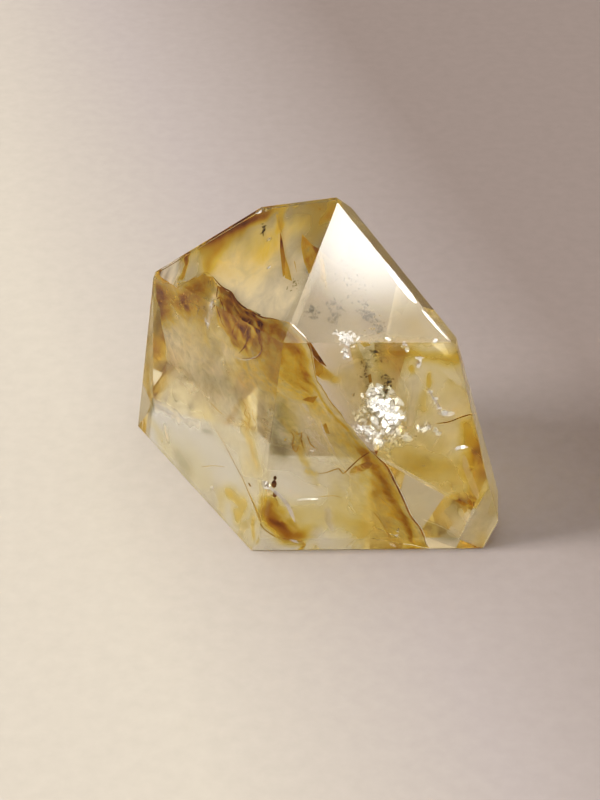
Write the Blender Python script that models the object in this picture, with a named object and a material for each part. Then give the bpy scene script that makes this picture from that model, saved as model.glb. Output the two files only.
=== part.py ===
"""Fire quartz freeform: one clear quartz crystal, ground flat and polished on sixteen facets.

Two cracks run into it from the surface: a large one across the front and a small one at the
lower left. Both die out inside the crystal, which stays in one piece.

Metres, +Z up. The origin is the middle of the stone's bounding box, on the table.
Azimuths are measured from the front (-Y) towards the right (+X).
"""
import math

import bmesh
import bpy
from mathutils import Matrix, Vector

MM = 0.001

# --- driving dimensions -------------------------------------------------------
BLANK_SIDE = 200 * MM        # rough block that the facets are ground from
ARRIS_WIDTH = 0.35 * MM      # polished-over facet edges
ARRIS_SEGMENTS = 2
ARRIS_MIN_ANGLE = math.radians(4)

# facet name: (azimuth, rise above the horizontal, distance from the origin)
FACETS = {
    "base": (0.0, -90.0, 0.0),
    "front": (1.25, 5.0, 28.68 * MM),
    "front_undercut": (0.94, -18.0, 25.69 * MM),
    "front_roof": (1.96, 52.0, 55.20 * MM),
    "left_front": (-59.32, 8.30, 24.88 * MM),
    "left_roof": (-69.56, 45.36, 46.36 * MM),
    "right_roof_bevel": (78.55, 55.0, 59.94 * MM),
    "right_bevel": (84.45, 13.84, 41.98 * MM),
    "right_front_corner": (13.88, 0.51, 34.48 * MM),
    "right_undercut": (88.0, -23.74, 34.13 * MM),
    "corner_undercut": (9.79, -13.54, 30.88 * MM),
    "back_right": (124.37, 15.63, 24.96 * MM),
    "back": (175.65, 12.11, 25.82 * MM),
    "back_roof": (152.67, 25.04, 32.55 * MM),
    "back_left": (-137.56, 1.91, 40.38 * MM),
    "base_corner": (-35.0, -42.0, 21.50 * MM),
}

# cracks: the mouth's points on the surface in mm, the way into the stone, and the depth
# at the mouth's first point and past CRACK_OPENS of its length
CRACK_WIDTH = 0.3 * MM
CRACK_OVERRUN = 3.0 * MM     # the cutter starts this far outside the stone
CRACK_OPENS = 0.35
CRACKS = {
    "main_crack": (
        [(-37.5, 23.0, 37.5), (-33.0, 17.5, 39.2), (-29.6, 12.4, 41.1), (-25.3, 10.1, 45.3),
         (-23.0, 9.3, 47.1), (-21.4, 6.7, 47.6), (-19.1, 1.7, 48.0), (-16.0, -4.6, 48.8),
         (-10.4, -14.1, 50.6), (-6.9, -18.1, 52.5), (-4.9, -20.8, 53.5), (-1.3, -23.8, 50.9),
         (0.6, -25.0, 43.0), (3.5, -25.4, 37.6), (9.1, -26.0, 29.5), (13.9, -26.4, 23.4),
         (17.2, -26.9, 17.7), (20.5, -27.5, 9.8), (23.4, -27.9, 4.7), (26.0, -26.6, -2.0)],
        (-0.125, 0.606, -0.786), 6.0 * MM, 20.0 * MM,
    ),
    "front_crack": (
        [(-21.0, -8.7, 18.3), (-16.5, -17.2, 15.2), (-13.2, -23.7, 11.6),
         (-10.7, -28.4, 7.2), (-6.7, -28.5, 4.1), (-1.0, -27.1, -1.5)],
        (0.486, 0.765, -0.424), 1.5 * MM, 8.0 * MM,
    ),
}

# small conchoidal chips where the cracks come out of the stone:
# (centre on the surface, long direction, length, width, depth)
CHIPS = {
    "crack_wedge": ((0.9, -24.8, 47.0), (0.36, -0.08, -0.93), 6.4 * MM, 1.5 * MM, 1.1 * MM),
    "crack_foot": ((24.3, -26.9, 0.6), (0.94, -0.1, -0.33), 2.6 * MM, 1.3 * MM, 0.9 * MM),
    "second_crack_foot": ((-2.5, -27.2, 0.4), (0.9, -0.1, -0.42), 2.0 * MM, 1.1 * MM, 0.7 * MM),
    "roof_edge": ((16.1, -9.4, 60.9), (0.6, -0.64, -0.48), 2.2 * MM, 1.0 * MM, 0.6 * MM),
}
CHIP_RINGS = 6
CHIP_SEGMENTS = 12

QUARTZ_COLOUR = (0.93, 0.86, 0.70, 1.0)
QUARTZ_IOR = 1.544


def facet_normal(azimuth, rise):
    """Outward unit normal of a facet, from its azimuth and rise in degrees."""
    turn = math.radians(azimuth)
    lift = math.radians(rise)
    return Vector((
        math.sin(turn) * math.cos(lift),
        -math.cos(turn) * math.cos(lift),
        math.sin(lift),
    ))


def grind_facet(mesh, normal, distance):
    """Cut away all that lies past the facet's plane, and close the cut."""
    everything = mesh.verts[:] + mesh.edges[:] + mesh.faces[:]
    cut = bmesh.ops.bisect_plane(
        mesh, geom=everything, dist=1e-7,
        plane_co=normal * distance, plane_no=normal, clear_outer=True,
    )
    rim = [item for item in cut["geom_cut"] if isinstance(item, bmesh.types.BMEdge)]
    if rim:
        bmesh.ops.contextual_create(mesh, geom=rim)


def quartz_material():
    """Clear quartz with a faint warm tint."""
    material = bpy.data.materials.new("clear_quartz")
    material.use_nodes = True
    shader = material.node_tree.nodes["Principled BSDF"]
    shader.inputs["Base Color"].default_value = QUARTZ_COLOUR
    shader.inputs["Roughness"].default_value = 0.02
    shader.inputs["Metallic"].default_value = 0.0
    shader.inputs["IOR"].default_value = QUARTZ_IOR
    shader.inputs["Transmission Weight"].default_value = 1.0
    return material


def make_stone():
    """Grind every facet from a block."""
    mesh = bmesh.new()
    bmesh.ops.create_cube(mesh, size=BLANK_SIDE)
    for azimuth, rise, distance in FACETS.values():
        grind_facet(mesh, facet_normal(azimuth, rise), distance)
    bmesh.ops.recalc_face_normals(mesh, faces=mesh.faces[:])
    data = bpy.data.meshes.new("quartz_freeform")
    mesh.to_mesh(data)
    mesh.free()
    data.materials.append(quartz_material())
    stone = bpy.data.objects.new("quartz_freeform", data)
    bpy.context.scene.collection.objects.link(stone)
    return stone


def round_arrises(stone):
    """Polish the facet edges over."""
    bevel = stone.modifiers.new("arrises", "BEVEL")
    bevel.width = ARRIS_WIDTH
    bevel.segments = ARRIS_SEGMENTS
    bevel.limit_method = "ANGLE"
    bevel.angle_limit = ARRIS_MIN_ANGLE


def crack_cutter(name, mouth, inward, first_depth, depth):
    """A thin blade that follows a crack's mouth and reaches into the stone."""
    points = [Vector(point) * MM for point in mouth]
    inward = Vector(inward).normalized()
    side = (points[-1] - points[0]).cross(inward).normalized() * CRACK_WIDTH / 2
    mesh = bmesh.new()
    rings = []
    for index, point in enumerate(points):
        opened = min(1.0, index / (len(points) - 1) / CRACK_OPENS)
        root = point + inward * (first_depth + (depth - first_depth) * opened)
        start = point - inward * CRACK_OVERRUN
        corners = (start - side, start + side, root + side, root - side)
        rings.append([mesh.verts.new(corner) for corner in corners])
    for ring, following in zip(rings, rings[1:]):
        for corner in range(4):
            after = (corner + 1) % 4
            mesh.faces.new((ring[corner], ring[after], following[after], following[corner]))
    mesh.faces.new(rings[0])
    mesh.faces.new(rings[-1])
    return cutter_object(name, mesh)


def chip_cutter(name, centre, direction, length, width, depth):
    """An almond-shaped cutter that lies in the surface along the crack."""
    place = Vector(centre) * MM
    along = Vector(direction).normalized()
    across = along.cross(Vector((0.0, 1.0, 0.0))).normalized()
    inward = across.cross(along)
    mesh = bmesh.new()
    bmesh.ops.create_uvsphere(
        mesh, u_segments=CHIP_SEGMENTS, v_segments=CHIP_RINGS, radius=0.5)
    frame = Matrix((across * width, inward * 2 * depth, along * length)).transposed()
    bmesh.ops.transform(mesh, matrix=frame.to_4x4(), verts=mesh.verts[:])
    bmesh.ops.translate(mesh, vec=place, verts=mesh.verts[:])
    return cutter_object(name, mesh)


def cutter_object(name, mesh):
    """A hidden guide object that a Boolean cuts with."""
    bmesh.ops.recalc_face_normals(mesh, faces=mesh.faces[:])
    data = bpy.data.meshes.new(name)
    mesh.to_mesh(data)
    mesh.free()
    cutter = bpy.data.objects.new(name, data)
    cutter.hide_render = True
    cutter.display_type = "WIRE"
    bpy.context.scene.collection.objects.link(cutter)
    return cutter


def cut(stone, cutter):
    """Take a cutter's shape out of the stone."""
    boolean = stone.modifiers.new(cutter.name, "BOOLEAN")
    boolean.operation = "DIFFERENCE"
    boolean.solver = "EXACT"
    boolean.object = cutter


def main():
    for item in list(bpy.data.objects):
        bpy.data.objects.remove(item, do_unlink=True)
    stone = make_stone()
    round_arrises(stone)
    for name, shape in CRACKS.items():
        cut(stone, crack_cutter(name, *shape))
    for name, shape in CHIPS.items():
        cut(stone, chip_cutter("chip_" + name, *shape))


main()
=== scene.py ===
"""Looks of the fire quartz freeform: a clear, ground crystal crossed by iron-stained cracks."""
import math
import random

import bmesh
import bpy
import numpy as np
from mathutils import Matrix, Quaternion, Vector, noise


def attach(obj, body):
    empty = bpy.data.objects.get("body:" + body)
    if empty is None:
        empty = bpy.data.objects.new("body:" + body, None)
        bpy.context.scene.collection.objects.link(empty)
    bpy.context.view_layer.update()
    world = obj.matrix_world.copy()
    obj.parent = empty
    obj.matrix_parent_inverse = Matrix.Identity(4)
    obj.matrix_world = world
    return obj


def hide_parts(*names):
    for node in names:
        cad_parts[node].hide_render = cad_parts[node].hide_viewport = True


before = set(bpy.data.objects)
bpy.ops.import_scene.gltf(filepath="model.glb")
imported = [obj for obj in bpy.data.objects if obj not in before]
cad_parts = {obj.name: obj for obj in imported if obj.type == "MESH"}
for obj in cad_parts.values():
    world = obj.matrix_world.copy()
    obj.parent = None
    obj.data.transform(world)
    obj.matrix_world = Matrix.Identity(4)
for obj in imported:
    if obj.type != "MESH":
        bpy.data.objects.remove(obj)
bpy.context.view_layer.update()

MM = 0.001
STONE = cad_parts["quartz_freeform"]
QUARTZ_IOR = 1.544
QUARTZ_TINT = (0.95, 0.80, 0.34, 1)
QUARTZ_DENSITY = 8.5         # absorption per metre
FACET_MIN_AREA = 25 * MM * MM
FACET_SLACK = 0.05 * MM      # how far a corner may stand out of its facet
SAME_WAY = 0.9999            # cosine above which two faces belong to one facet
BLOCK_SIDE = 200 * MM        # the block that the facets are cut from
ARRIS_WIDTH = 0.35 * MM
ARRIS_SEGMENTS = 3
SKIN = 0.12 * MM             # how far the inner pieces stay under the stone's surface

VEIL_STEP = 0.6 * MM         # cell of a veil's grid
VEIL_RIPPLE = 0.3 * MM
VEIL_MARGIN = 8 * MM         # how far the grid goes past the strokes
LEAST_PAINT = 0.004          # a veil has no face where stain and haze together stay below this
SHEET_REACH = 75 * MM        # half of a crack face's grid
SHEET_OVERRUN = 2 * MM       # how far the grid goes out of the stone before it is trimmed

# How a crack's face departs from its plane.
MOUTH_SOFTNESS = 0.4 * MM
MOUTH_REACH = 18 * MM        # how far inside the line of the mouth is still felt
RIPPLE_START = 4 * MM        # how far inside the ripples have grown
ARC_SPACING = 7 * MM         # conchoidal arcs down the face
ARC_SHARE = 0.12             # their height, as a share of the ripples'
ARC_BEND = 3                 # radians

# Noise cells per metre in a crack's ripples, in the bend of its arcs and in a veil.
RIPPLE_CELLS = 60
ARC_CELLS = 70
VEIL_CELLS = 90

# The two cracks' faces: height of the ripples, how far from the mouth their own stain fades, how
# far they reach, and the cell of the grid.
MAIN_RIPPLE, MAIN_FADE, MAIN_REACH, MAIN_STEP = 1.0 * MM, 26 * MM, 200 * MM, 0.6 * MM
FRONT_RIPPLE, FRONT_FADE, FRONT_REACH, FRONT_STEP = 0.4 * MM, 14 * MM, 16 * MM, 0.5 * MM

# Noise that makes a stroke's edge uneven: cells per metre, and how far each moves it.
BROAD_WANDER = (160, 1.6 * MM)
FINE_WANDER = (500, 0.6 * MM)
NOISE_SEED = 7               # keeps the uneven edges the same in every run
FLAKE_SEED = 7

IMAGE_WIDTH = 600
IMAGE_HEIGHT = 800
SENSOR_HEIGHT = 36.0
LENS = 95.745
CAMERA_PLACE = Vector((-2.65, -380.38, 286.38)) * MM
CAMERA_TILT = math.radians(55)

SKY = [(0.0, (0.55, 0.49, 0.44)), (0.6, (0.82, 0.76, 0.70)), (1.0, (1.9, 1.85, 1.75))]
SKY_STRENGTH = 0.78
# Soft round lights: azimuth from +Y toward +X, elevation, inner and outer radius in degrees, radiance.
KEY = (-98, 28, 5, 15, (60.0, 58.0, 54.0))
TOP_LIGHT = (164.5, 73.5, 0.5, 3.5, (25.0, 24.8, 24.2))
TOP_GLOW = (166.5, 70.0, 0.5, 4.5, (5.0, 4.3, 3.2))
LIGHT_FALLOFF = 1.5

FLOOR_SIZE = 4.0
FLOOR_DROP = 0.2 * MM        # the floor lies this far under the stone
# The floor's colours from the left to the right, between two places in metres: its own cream and
# mauve-grey, with the darker right end partly painted shade.
FLOOR_TONES_AND_SHADE = [(0.0, (0.50, 0.46, 0.405)), (0.45, (0.372, 0.330, 0.322)), (1.0, (0.222, 0.183, 0.172))]
TONE_START, TONE_END = -0.05, 0.08
# Display contrast like a camera's: dark tones drop a little, the others stay.
DARK_TONES = [(0.015, 0.006), (0.045, 0.026), (0.08, 0.053), (0.12, 0.095), (0.22, 0.213), (0.35, 0.35)]
LIGHT_BOUNCES = 32
CLEAR_BOUNCES = 64           # passes through see-through faces

# A pixel on each facet that a light comes in by.
LEFT_FACET_PIXEL = (200, 420)
RIGHT_FACET_PIXEL = (430, 400)
ROOF_FACET_PIXEL = (360, 290)
FRONT_FACET_PIXEL = (300, 480)


# ---------------------------------------------------------------- the stone as a set of planes

def stone_facets():
    """The ground facets as (outward normal, distance from the origin), read from the stone's mesh.

    A facet is a large face with the whole stone behind it, which leaves out the walls of the cracks."""
    corners = np.array([vertex.co for vertex in STONE.data.vertices])
    facets = []
    for polygon in STONE.data.polygons:
        normal = polygon.normal
        distance = normal.dot(polygon.center)
        if (corners @ np.array(normal)).max() > distance + FACET_SLACK:
            continue
        for facet in facets:
            if facet[0].dot(normal) > SAME_WAY and abs(facet[1] - distance) < 2 * FACET_SLACK:
                facet[2] += polygon.area
                break
        else:
            facets.append([normal.copy(), distance, polygon.area])
    return [(normal, distance) for normal, distance, area in facets if area > FACET_MIN_AREA]


FACETS = stone_facets()
noise.seed_set(NOISE_SEED)


def direction(azimuth, elevation):
    """The way to a light, from its azimuth and elevation in degrees."""
    turn, height = math.radians(azimuth), math.radians(elevation)
    level = math.cos(height)
    return Vector((math.sin(turn) * level, math.cos(turn) * level, math.sin(height)))


def camera_ray(pixel):
    """Direction in which the camera sees a pixel of the 600 x 800 image."""
    focal = LENS / SENSOR_HEIGHT * IMAGE_HEIGHT
    forward = Vector((0, math.sin(CAMERA_TILT), -math.cos(CAMERA_TILT)))
    up = Vector((0, math.cos(CAMERA_TILT), math.sin(CAMERA_TILT)))
    right = Vector((1, 0, 0))
    ray = forward * focal + right * (pixel[0] - IMAGE_WIDTH / 2) + up * (IMAGE_HEIGHT / 2 - pixel[1])
    return ray.normalized()


def enter(pixel):
    """Where a pixel's ray meets the stone, its refracted direction, and the facet's normal."""
    ray = camera_ray(pixel)
    reach, normal = max(((distance - facet.dot(CAMERA_PLACE)) / facet.dot(ray), facet)
                        for facet, distance in FACETS if facet.dot(ray) < 0)
    cosine = -ray.dot(normal)
    ratio = 1 / QUARTZ_IOR
    bent = ratio * ray + (ratio * cosine - math.sqrt(1 - ratio ** 2 * (1 - cosine ** 2))) * normal
    return CAMERA_PLACE + ray * reach, bent, normal


def inside(pixel, depth):
    """The point that a pixel shows at a depth inside the stone."""
    point, bent, _ = enter(pixel)
    return point + bent * depth


def cut_off(mesh_data, point, normal):
    """Cuts off what reaches past a plane, and gives back what is new along the cut."""
    geometry = mesh_data.verts[:] + mesh_data.edges[:] + mesh_data.faces[:]
    return bmesh.ops.bisect_plane(mesh_data, geom=geometry, plane_co=point, plane_no=normal,
                                  clear_outer=True)["geom_cut"]


def trim(mesh_data, inset=SKIN, cuts=()):
    """Cuts off what reaches past the stone's facets, and past any more planes (point, normal)."""
    for normal, distance in FACETS:
        cut_off(mesh_data, normal * (distance - inset), normal)
    for point, normal in cuts:
        cut_off(mesh_data, point, normal)


def keep(name, mesh_data, material, smooth=True):
    """Turns a bmesh into a piece of the stone."""
    mesh = bpy.data.meshes.new(name)
    mesh_data.to_mesh(mesh)
    mesh_data.free()
    piece = bpy.data.objects.new(name, mesh)
    bpy.context.scene.collection.objects.link(piece)
    mesh.materials.append(material)
    if smooth:
        mesh.shade_smooth()
    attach(piece, "root")
    return piece


def clear_stone(material):
    """The clear crystal: a block cut along every facet, with polished-over arrises.

    It is whole, so that the cracks' faces inside it are seen in the clear."""
    mesh_data = bmesh.new()
    bmesh.ops.create_cube(mesh_data, size=BLOCK_SIDE)
    for normal, distance in FACETS:
        fresh = cut_off(mesh_data, normal * distance, normal)
        rim = [item for item in fresh if isinstance(item, bmesh.types.BMEdge)]
        bmesh.ops.contextual_create(mesh_data, geom=rim)
    bmesh.ops.recalc_face_normals(mesh_data, faces=mesh_data.faces[:])
    stone = keep("clear_stone", mesh_data, material)
    arrises = stone.modifiers.new("arrises", "BEVEL")
    arrises.width = ARRIS_WIDTH
    arrises.segments = ARRIS_SEGMENTS
    arrises.limit_method = "NONE"
    arrises.harden_normals = True
    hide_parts("quartz_freeform")


# ---------------------------------------------------------------- materials

class Nodes:
    """A node tree, with short calls for adding and linking nodes."""

    def __init__(self, owner, output="OutputMaterial"):
        owner.use_nodes = True
        self.owner = owner
        self.tree = owner.node_tree
        self.tree.nodes.clear()
        self.out = self.add(output)

    def add(self, kind, inputs=None, **settings):
        """Adds a node, sets its properties, and fills or links its input sockets."""
        node = self.tree.nodes.new("ShaderNode" + kind)
        for key, value in settings.items():
            setattr(node, key, value)
        for key, value in (inputs or {}).items():
            if isinstance(value, bpy.types.NodeSocket):
                self.tree.links.new(value, node.inputs[key])
            elif isinstance(value, bpy.types.Node):
                self.tree.links.new(value.outputs[0], node.inputs[key])
            else:
                node.inputs[key].default_value = value
        return node

    def surface(self, shader):
        self.tree.links.new(shader.outputs[0], self.out.inputs["Surface"])
        return self.owner

    def attribute(self, name):
        return self.add("Attribute", attribute_name=name).outputs["Fac"]

    def noise(self, scale, detail=4.0, roughness=0.55, stretch=None, distortion=0.0):
        """Noise in the object's own space, in cells per metre, optionally stretched."""
        where = self.add("TexCoord").outputs["Object"]
        if stretch:
            where = self.add("Mapping", {"Vector": where, "Rotation": stretch[0], "Scale": stretch[1]})
        return self.add("TexNoise", {"Vector": where, "Scale": scale, "Detail": detail,
                                     "Roughness": roughness, "Distortion": distortion}).outputs["Fac"]

    def math(self, operation, a, b=0.0, clamp=False):
        return self.add("Math", {0: a, 1: b}, operation=operation, use_clamp=clamp)

    def ramp(self, factor, stops, ease="LINEAR"):
        """A colour ramp with (position, colour) stops."""
        node = self.add("ValToRGB", {"Fac": factor})
        ramp = node.color_ramp
        ramp.interpolation = ease
        ramp.elements[0].position, ramp.elements[0].color = stops[0][0], (*stops[0][1], 1)
        ramp.elements[1].position, ramp.elements[1].color = stops[-1][0], (*stops[-1][1], 1)
        for position, colour in stops[1:-1]:
            ramp.elements.new(position).color = (*colour, 1)
        return node

    def mix(self, blend, first, second):
        """Two colours multiplied or added."""
        return self.add("Mix", {0: 1.0, 6: first, 7: second},
                        data_type="RGBA", blend_type=blend).outputs[2]

    def span(self, value, low, high, to_low=0.0, to_high=1.0):
        """Rescales a value from one span to another, held at its ends."""
        return self.add("MapRange", {"Value": value, "From Min": low, "From Max": high,
                                     "To Min": to_low, "To Max": to_high}).outputs[0]


def quartz_material():
    """Clear, faintly yellow quartz with a polish that is a little uneven."""
    nodes = Nodes(bpy.data.materials.new("clear_quartz"))
    polish = nodes.noise(900, detail=3)
    shader = nodes.add("BsdfPrincipled", {
        "Base Color": (1, 1, 1, 1), "IOR": QUARTZ_IOR, "Transmission Weight": 1.0,
        "Roughness": nodes.span(polish, 0.55, 0.8, 0.0, 0.03)})
    volume = nodes.add("VolumeAbsorption", {"Color": QUARTZ_TINT, "Density": QUARTZ_DENSITY})
    nodes.tree.links.new(volume.outputs[0], nodes.out.inputs["Volume"])
    return nodes.surface(shader)


# Colours by the amount of iron: of the light that passes, and of the crust where a face is milky.
IRON_TINT = [(0.0, (1.0, 1.0, 1.0)), (0.08, (0.98, 0.94, 0.72)), (0.2, (0.93, 0.79, 0.32)),
             (0.35, (0.84, 0.60, 0.09)), (0.55, (0.60, 0.33, 0.012)), (0.75, (0.36, 0.15, 0.005)),
             (1.0, (0.10, 0.025, 0.002))]
IRON_CRUST = [(0.0, (0.92, 0.86, 0.72)), (0.12, (0.88, 0.74, 0.42)), (0.3, (0.74, 0.52, 0.10)),
              (0.5, (0.52, 0.29, 0.02)), (0.75, (0.28, 0.12, 0.006)), (1.0, (0.10, 0.025, 0.003))]


def stained_material(name, grain, turn, rough, through):
    """A face with iron stain, seen through where it is clear and crusted where it is milky.

    The mesh carries two values: "stain", how much iron there is, and "haze", how milky the face is.
    A high value of rough makes both patchy, in cells of the given grain, turned by an angle. The
    share "through" of the light that a milky face scatters goes on to its far side."""
    nodes = Nodes(bpy.data.materials.new(name))
    broad = nodes.noise(grain, detail=6, roughness=0.62, distortion=0.6,
                        stretch=((0.4, 0.9 + turn, 0.2), (1, 1, 1)))
    fibre = nodes.noise(grain * 2.2, detail=4, roughness=0.6,
                        stretch=((0.2, 0.7, 0.5 + turn), (1, 0.22, 1)))
    uneven = nodes.math("MULTIPLY", nodes.span(broad, 0.3, 0.7, 1 - 0.5 * rough, 1 + 0.3 * rough),
                        nodes.span(fibre, 0.3, 0.7, 1 - 0.2 * rough, 1 + 0.2 * rough))
    stain = nodes.math("MULTIPLY", nodes.attribute("stain"), uneven)
    milk = nodes.math("MULTIPLY", nodes.attribute("haze"),
                      nodes.span(broad, 0.35, 0.7, 1 - 0.4 * rough, 1 + 0.4 * rough), clamp=True)
    clear = nodes.add("BsdfTransparent", {"Color": nodes.ramp(stain, IRON_TINT)})
    crust = nodes.ramp(stain, IRON_CRUST)
    lit = nodes.add("BsdfDiffuse", {"Color": crust})
    glow = nodes.add("BsdfTranslucent", {"Color": crust})
    dull = nodes.add("MixShader", {0: through, 1: lit, 2: glow})
    return nodes.surface(nodes.add("MixShader", {0: milk, 1: clear, 2: dull}))


def silver_material():
    """Thin air gaps inside the crystal: bright, a little rough and partly see-through."""
    nodes = Nodes(bpy.data.materials.new("silver_gap"))
    patch = nodes.span(nodes.noise(1800, detail=3), 0.35, 0.65, 0.6, 1.0)
    share = nodes.math("MULTIPLY", patch, nodes.attribute("haze"), clamp=True)
    mirror = nodes.add("BsdfGlossy", {"Color": (0.97, 0.98, 1.0, 1), "Roughness": 0.13})
    cloud = nodes.add("BsdfTranslucent", {"Color": (0.97, 0.96, 0.94, 1)})
    bright = nodes.add("MixShader", {0: 0.25, 1: mirror, 2: cloud})
    clear = nodes.add("BsdfTransparent", {"Color": (1, 1, 1, 1)})
    return nodes.surface(nodes.add("MixShader", {0: share, 1: clear, 2: bright}))


# Grey tints by how much a face dims: for dark flecks and for painted shade.
GREY_AND_SHADE_TINT = [(0.0, (1.0, 1.0, 1.0)), (0.4, (0.58, 0.58, 0.51)), (1.0, (0.10, 0.10, 0.11))]


def dimming_and_shade_material():
    """Grey veils and flecks that only dim what is behind them: the stone's dark flecks and smoky clouds,
    and grey sheets of painted shade.
    """
    nodes = Nodes(bpy.data.materials.new("dimming_and_shade"))
    patch = nodes.span(nodes.noise(700, detail=5), 0.3, 0.7, 0.8, 1.2)
    share = nodes.math("MULTIPLY", patch, nodes.attribute("haze"), clamp=True)
    return nodes.surface(nodes.add("BsdfTransparent", {"Color": nodes.ramp(share, GREY_AND_SHADE_TINT)}))


# ---------------------------------------------------------------- cracks that cross the stone

class Plane:
    """A plane inside the stone, with two directions in it: along and down."""

    def __init__(self, centre, normal, along):
        self.centre = centre
        self.normal = normal
        self.along = along
        self.down = normal.cross(along)

    def flat(self, point):
        """A point's place along and down the plane, and its height over it."""
        arm = point - self.centre
        return arm.dot(self.along), arm.dot(self.down), arm.dot(self.normal)

    def seen(self, pixel):
        """The place on the plane that a pixel shows through the stone's surface."""
        point, bent, _ = enter(pixel)
        reach = self.normal.dot(self.centre - point) / self.normal.dot(bent)
        return self.flat(point + bent * reach)[:2]

    def point(self, a, d, height=0.0):
        """The point at a place of the plane, or at a height over it."""
        return self.centre + self.along * a + self.down * d + self.normal * height


def square_grid(reach, step):
    """Flat places all over a square around the middle, and how many there are in a row."""
    span = np.arange(-reach, reach, step)
    return np.stack(np.meshgrid(span, span), axis=-1).reshape(-1, 2), len(span)


def path_distance(places, path):
    """Distance from each of many flat places to a path of flat points."""
    best = np.full(len(places), np.inf)
    for start, end in zip(path[:-1], path[1:]):
        start, end = np.array(start), np.array(end)
        leg = end - start
        share = np.clip((places - start) @ leg / max(leg @ leg, 1e-12), 0, 1)
        best = np.minimum(best, np.linalg.norm(places - start - share[:, None] * leg, axis=1))
    return best


def wandered(places):
    """Flat places, each moved a little by noise, so that a stroke drawn over them has uneven edges."""
    broad_cells, broad_shift = BROAD_WANDER
    fine_cells, fine_shift = FINE_WANDER
    moved = places.copy()
    for index, (a, d) in enumerate(places):
        broad = noise.noise_vector(Vector((a, d, 0)) * broad_cells)
        fine = noise.noise_vector(Vector((a, d, 9 * MM)) * fine_cells)
        moved[index] += [broad[axis] * broad_shift + fine[axis] * fine_shift for axis in (0, 1)]
    return moved


def painted(plane, grid, strokes, stain, haze):
    """Adds soft strokes to the stain and the haze of a plane's places."""
    moved = wandered(grid)
    for pixels, width, more_stain, more_haze in strokes:
        path = [plane.seen(pixel) for pixel in pixels]
        if len(path) == 1:
            path = path * 2
        share = np.exp(-(path_distance(moved, path) / (width * MM)) ** 2)
        stain += more_stain * share
        haze += more_haze * share
    return np.maximum(stain, 0), np.clip(haze, 0, 1)


def veil(name, material, crack, facet_pixel, depth, side, strokes, edge=None):
    """A thin, soft cloud that lies a little under one facet, painted with strokes seen through it.

    Where the side isn't 0, the cloud stays on that side of the crack. An edge of two pixels cuts it
    off sharply, so that it stays on the left of the way from the first to the second."""
    point, _, normal = enter(facet_pixel)
    plane = Plane(point - normal * depth * MM, normal, normal.orthogonal().normalized())
    reach = max(abs(value) for pixels, _, _, _ in strokes for pixel in pixels
                for value in plane.seen(pixel))
    grid, row = square_grid(reach + VEIL_MARGIN, VEIL_STEP)
    stain, haze = painted(plane, grid, strokes, np.zeros(len(grid)), np.zeros(len(grid)))
    points = [plane.point(a, d, VEIL_RIPPLE * noise.noise(Vector((a, d, depth * MM)) * VEIL_CELLS))
              for a, d in grid]
    wanted = stain + haze > LEAST_PAINT
    if side:
        wanted &= side * crack.clearance(points) > 0
    cuts = []
    if edge:
        start, end = [plane.point(*plane.seen(pixel)) for pixel in edge]
        cuts = [(start, (end - start).cross(normal))]
    grid_piece(name, material, points, row, wanted, stain, haze, cuts)


class Crack(Plane):
    """A crack face that starts at its mouth, the line where it breaks the stone's surface."""

    def __init__(self, mouth, ripple):
        points = np.array([enter(pixel)[0] for pixel in mouth])
        middle = points.mean(0)
        along, _, normal = [Vector(way) if way[0] > 0 else -Vector(way)
                            for way in np.linalg.svd(points - middle)[2]]
        super().__init__(Vector(middle), normal, along)
        self.ripple = ripple
        self.mouth = np.array([self.flat(Vector(point)) for point in points])

    def heights(self, places):
        """How far the face stands off its plane at each place: its mouth's own line, and ripples."""
        gaps = np.linalg.norm(places[:, None] - self.mouth[None, :, :2], axis=2)
        pull = 1 / (gaps ** 2 + MOUTH_SOFTNESS ** 2)
        height = (pull * self.mouth[None, :, 2]).sum(1) / pull.sum(1)
        height *= np.exp(-(gaps.min(1) / MOUTH_REACH) ** 2)
        inner = 1 - np.exp(-(path_distance(places, self.mouth[:, :2]) / RIPPLE_START) ** 2)
        for index, (a, d) in enumerate(places):
            swell = noise.fractal(Vector((a, d, 0)) * RIPPLE_CELLS, 0.7, 2.0, 4)
            bend = ARC_BEND * noise.noise(Vector((a, d, 3 * MM)) * ARC_CELLS)
            arcs = math.sin(2 * math.pi * d / ARC_SPACING + bend)
            height[index] += inner[index] * self.ripple * (swell + ARC_SHARE * arcs)
        return height

    def clearance(self, points):
        """How far points lie off the crack's face, positive on the side that its normal points to."""
        flat = np.array([self.flat(point) for point in points])
        return flat[:, 2] - self.heights(flat[:, :2])

    def points(self, places, lift=0.0):
        """Points on the crack's face, lifted off it by a little where asked."""
        return [self.point(a, d, height + lift)
                for (a, d), height in zip(places, self.heights(np.array(places)))]

    def sheet(self, name, material, strokes, base, fade, reach, step):
        """The face as a fine grid that carries how much stain and haze each place has.

        Its base (stain and haze) fades from the mouth inward, and the face ends at its reach."""
        grid, row = square_grid(SHEET_REACH, step)
        depth = path_distance(grid, self.mouth[:, :2])
        points = np.array(self.points(grid))
        near = depth < reach
        for normal, distance in FACETS:
            near &= points @ np.array(normal) < distance + SHEET_OVERRUN
        dying = np.exp(-(depth / fade) ** 2)
        stain, haze = painted(self, grid, strokes, base[0] * dying, base[1] * dying)
        grid_piece(name, material, points, row, near, stain, haze)


def taper(index, count):
    """Width share along a line: full in the middle, thin at its ends."""
    place = index / max(count - 1, 1)
    return min(1.0, 0.25 + 4 * min(place, 1 - place))


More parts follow.
